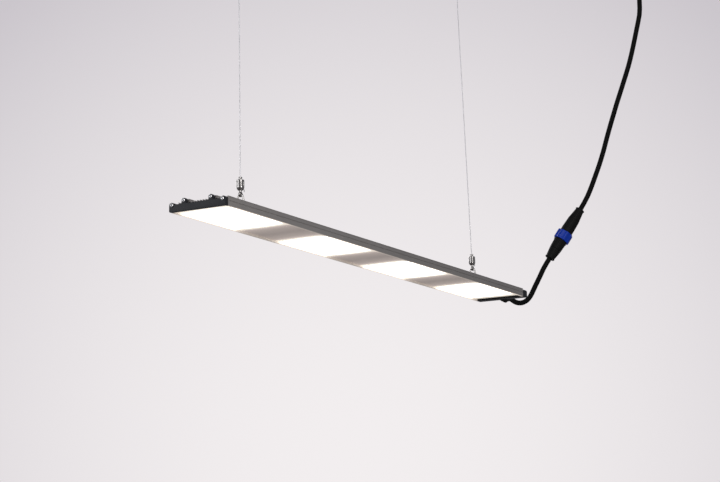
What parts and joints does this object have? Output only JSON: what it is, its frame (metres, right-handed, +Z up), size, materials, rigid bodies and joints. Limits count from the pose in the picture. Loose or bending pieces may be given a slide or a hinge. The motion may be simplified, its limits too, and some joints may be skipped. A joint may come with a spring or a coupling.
{
  "type": "led grow light",
  "caption": "Slim finned LED grow light bar with lit windows underneath, hung from the ceiling by wire grippers on stirrups and fed by a cord with a twist-lock coupler.",
  "frame": {"origin": "on the ceiling plane, straight above the middle of the bar", "axes": "+X along the bar towards the end its cord leaves, +Y across the bar, +Z up; the bar hangs below, its underside at z = -0.680 m"},
  "size_m": [1.277, 0.2672, 0.6845],
  "materials": {
    "anodised_aluminium": "satin natural anodised, with fine extrusion lines along its length",
    "black_end_plate": "fine black powder coat",
    "black_rubber": "matt",
    "bright_steel": "bright zinc plated",
    "steel_wire": "stranded, bright",
    "nickel_plate": "bright nickel plate",
    "opal_window": "opal diffuser, lit warm white",
    "white_board": "white solder mask with yellow chips",
    "grey_plate": "matt grey",
    "white_ribbon": "flat white cable",
    "black_nylon": "moulded, lightly textured",
    "blue_nylon": "moulded, semi-gloss",
    "white_cover": "moulded, semi-gloss"
  },
  "bodies": {
    "root": {"blanking_plate_1": "grey_plate", "blanking_plate_2": "grey_plate", "blanking_plate_3": "grey_plate", "cable_gland": "black_nylon", "ceiling_anchor_far": "bright_steel", "ceiling_anchor_near": "bright_steel", "cord_rose": "white_cover", "cord_rose_nut": "white_cover", "coupler_nut_lower": "black_nylon", "coupler_nut_upper": "black_nylon", "coupler_plug": "black_nylon", "coupler_socket": "black_nylon", "end_gasket_far": "black_rubber", "end_gasket_near": "black_rubber", "end_plate_far": "black_end_plate", "end_plate_near": "black_end_plate", "end_screw_far_1": "bright_steel", "end_screw_far_2": "bright_steel", "end_screw_far_3": "bright_steel", "end_screw_far_4": "bright_steel", "end_screw_near_1": "bright_steel", "end_screw_near_2": "bright_steel", "end_screw_near_3": "bright_steel", "end_screw_near_4": "bright_steel", "gland_nut": "black_nylon", "hanger_bail_far": "nickel_plate", "hanger_bail_near": "nickel_plate", "hanger_saddle_far": "bright_steel", "hanger_saddle_near": "bright_steel", "heatsink_extrusion": "anodised_aluminium", "led_board_1": "white_board", "led_board_2": "white_board", "led_board_3": "white_board", "led_board_4": "white_board", "link_lead_1": "white_ribbon", "link_lead_2": "white_ribbon", "link_lead_3": "white_ribbon", "pigtail_cord": "black_rubber", "supply_cord": "black_rubber", "suspension_wire_far": "steel_wire", "suspension_wire_near": "steel_wire", "swivel_stud_far": "nickel_plate", "swivel_stud_near": "nickel_plate", "terminal_block": "black_nylon", "window_1": "opal_window", "window_2": "opal_window", "window_3": "opal_window", "window_4": "opal_window"},
    "gripper_near": {"gripper_barrel_near": "nickel_plate", "gripper_spring_near": "bright_steel"},
    "nozzle_near": {"release_nozzle_near": "nickel_plate"},
    "cover_near": {"ceiling_cover_near": "nickel_plate"},
    "gripper_far": {"gripper_barrel_far": "nickel_plate", "gripper_spring_far": "bright_steel"},
    "nozzle_far": {"release_nozzle_far": "nickel_plate"},
    "cover_far": {"ceiling_cover_far": "nickel_plate"},
    "lock_ring": {"coupler_lock_ring": "blue_nylon"}
  },
  "joints": [
    {"name": "gripper_swivel_near", "type": "hinge", "parent": "root", "child": "gripper_near", "pos_m": [-0.3757, 0, -0.6385], "axis": [-0.0067, 0.0111, 0.9999], "continuous": true},
    {"name": "nozzle_press_near", "type": "slide", "parent": "gripper_near", "child": "nozzle_near", "axis": [0.0067, -0.0111, -0.9999], "range_m": [0, 0.0022], "stiffness_N_per_m": 600, "springref_m": -0.002, "deforming": ["gripper_spring_near"]},
    {"name": "cover_slide_near", "type": "slide", "parent": "root", "child": "cover_near", "axis": [0.0067, -0.0111, -0.9999], "range_m": [0, 0.022]},
    {"name": "gripper_swivel_far", "type": "hinge", "parent": "root", "child": "gripper_far", "pos_m": [0.3704, 0, -0.6385], "axis": [-0.0198, 0.0329, 0.9993], "continuous": true},
    {"name": "nozzle_press_far", "type": "slide", "parent": "gripper_far", "child": "nozzle_far", "axis": [0.0198, -0.0329, -0.9993], "range_m": [0, 0.0022], "stiffness_N_per_m": 600, "springref_m": -0.002, "deforming": ["gripper_spring_far"]},
    {"name": "cover_slide_far", "type": "slide", "parent": "root", "child": "cover_far", "axis": [0.0198, -0.0329, -0.9993], "range_m": [0, 0.022]},
    {"name": "lock_ring_turn", "type": "hinge", "parent": "root", "child": "lock_ring", "pos_m": [0.663, -0.05065, -0.53554], "axis": [0.3277, -0.4357, 0.8383], "range_deg": [0, 45]}
  ]
}
